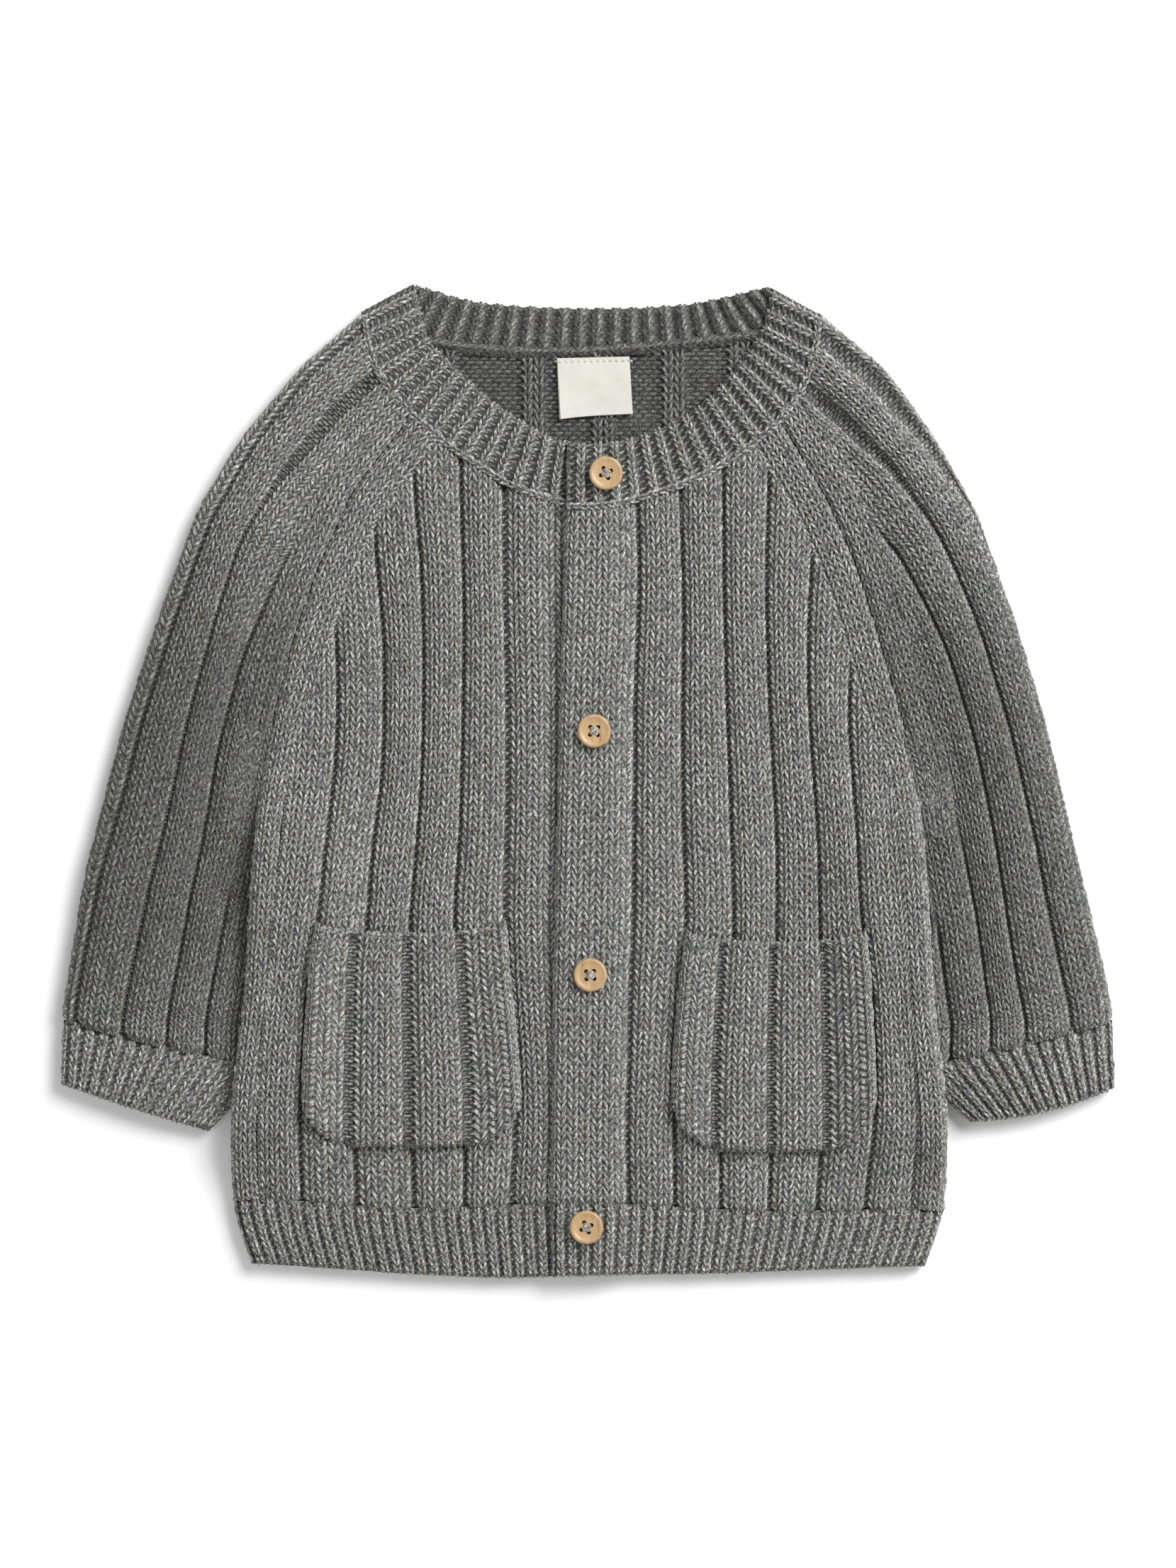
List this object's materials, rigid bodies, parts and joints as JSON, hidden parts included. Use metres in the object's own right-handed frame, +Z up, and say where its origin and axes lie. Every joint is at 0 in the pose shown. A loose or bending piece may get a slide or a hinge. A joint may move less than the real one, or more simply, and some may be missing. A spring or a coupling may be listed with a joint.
{
  "type": "baby cardigan",
  "caption": "Baby's raglan cardigan in a chunky grey rib knit, buttoned down the front with patch pockets, laid flat with its front up.",
  "frame": {"origin": "centre of the cardigan's outline, on the surface it lies on", "axes": "+X to the wearer's left (the viewer's right), +Y towards the neck, +Z up off the surface, out of the front"},
  "size_m": [0.3572, 0.3365, 0.0181],
  "materials": {
    "grey_knit": "chunky melange rib knitting, matt and slightly hairy",
    "grey_rib": "one by one rib knitting in the same melange yarn",
    "grey_pocket": "chunky melange rib knitting, matt and slightly hairy",
    "bamboo": "turned light wood with a satin varnish",
    "cream_satin": "woven satin ribbon, plain"
  },
  "bodies": {
    "root": {"back": "grey_knit", "front_left": "grey_knit", "front_right": "grey_knit", "sleeve_left": "grey_knit", "sleeve_right": "grey_knit", "hem_back": "grey_rib", "hem_front_left": "grey_rib", "hem_front_right": "grey_rib", "cuff_left": "grey_rib", "cuff_right": "grey_rib", "neckband": "grey_rib", "pocket_left": "grey_pocket", "pocket_right": "grey_pocket", "button_1": "bamboo", "button_2": "bamboo", "button_3": "bamboo", "button_4": "bamboo", "label": "cream_satin"}
  },
  "joints": []
}
